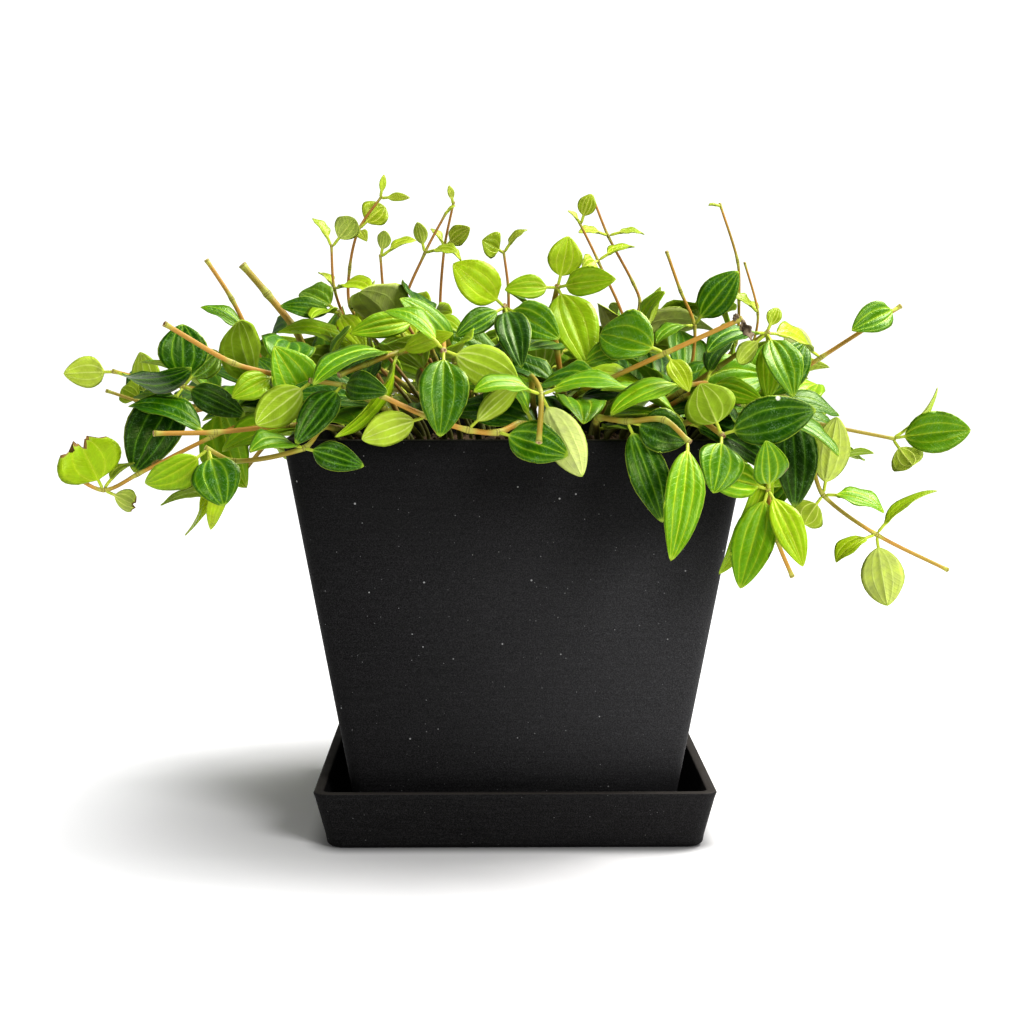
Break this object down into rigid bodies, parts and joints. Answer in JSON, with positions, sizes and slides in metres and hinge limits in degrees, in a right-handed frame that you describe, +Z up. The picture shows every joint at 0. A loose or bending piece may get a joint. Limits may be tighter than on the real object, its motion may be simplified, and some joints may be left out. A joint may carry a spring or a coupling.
{
  "type": "potted beetle peperomia",
  "caption": "Trailing foliage plant with pointed, light-veined oval leaves in a square tapered pot standing on a square saucer.",
  "frame": {"origin": "middle of the saucer's underside", "axes": "+Z up; front towards -Y, the side that the picture shows; +X to the right of that view"},
  "size_m": [0.361, 0.3047, 0.267],
  "materials": {
    "saucer_plastic": "matte charcoal black, finely brushed",
    "pot_plastic": "matte charcoal black, finely brushed, with sparse pale specks",
    "potting_mix": "loose dark brown potting mix",
    "foliage": "fleshy green leaves, satin above, with paler veins, on green to red-brown stems"
  },
  "bodies": {
    "root": {"saucer": "saucer_plastic", "pot": "pot_plastic", "soil": "potting_mix", "leafy_stem_01": "foliage", "leafy_stem_02": "foliage", "leafy_stem_03": "foliage", "leafy_stem_04": "foliage", "leafy_stem_05": "foliage", "leafy_stem_06": "foliage", "leafy_stem_07": "foliage", "leafy_stem_08": "foliage", "leafy_stem_09": "foliage", "leafy_stem_10": "foliage", "leafy_stem_11": "foliage", "leafy_stem_12": "foliage", "leafy_stem_13": "foliage", "leafy_stem_14": "foliage", "leafy_stem_15": "foliage", "leafy_stem_16": "foliage", "leafy_stem_17": "foliage", "leafy_stem_18": "foliage", "leafy_stem_19": "foliage", "leafy_stem_20": "foliage", "leafy_stem_21": "foliage", "leafy_stem_22": "foliage", "leafy_stem_23": "foliage", "leafy_stem_24": "foliage", "leafy_stem_25": "foliage", "leafy_stem_26": "foliage", "leafy_stem_27": "foliage", "leafy_stem_28": "foliage", "leafy_stem_29": "foliage", "leafy_stem_30": "foliage", "leafy_stem_31": "foliage", "leafy_stem_32": "foliage", "leafy_stem_33": "foliage", "leafy_stem_34": "foliage", "leafy_stem_35": "foliage", "leafy_stem_36": "foliage", "leafy_stem_37": "foliage", "leafy_stem_38": "foliage", "leafy_stem_39": "foliage", "leafy_stem_40": "foliage", "leafy_stem_41": "foliage", "leafy_stem_42": "foliage", "leafy_stem_43": "foliage", "leafy_stem_44": "foliage", "leafy_stem_45": "foliage", "leafy_stem_46": "foliage", "leafy_stem_47": "foliage", "leafy_stem_48": "foliage", "leafy_stem_49": "foliage", "leafy_stem_50": "foliage", "leafy_stem_51": "foliage", "leafy_stem_52": "foliage", "leafy_stem_53": "foliage", "leafy_stem_54": "foliage", "leafy_stem_55": "foliage", "leafy_stem_56": "foliage", "leafy_stem_57": "foliage"}
  },
  "joints": []
}
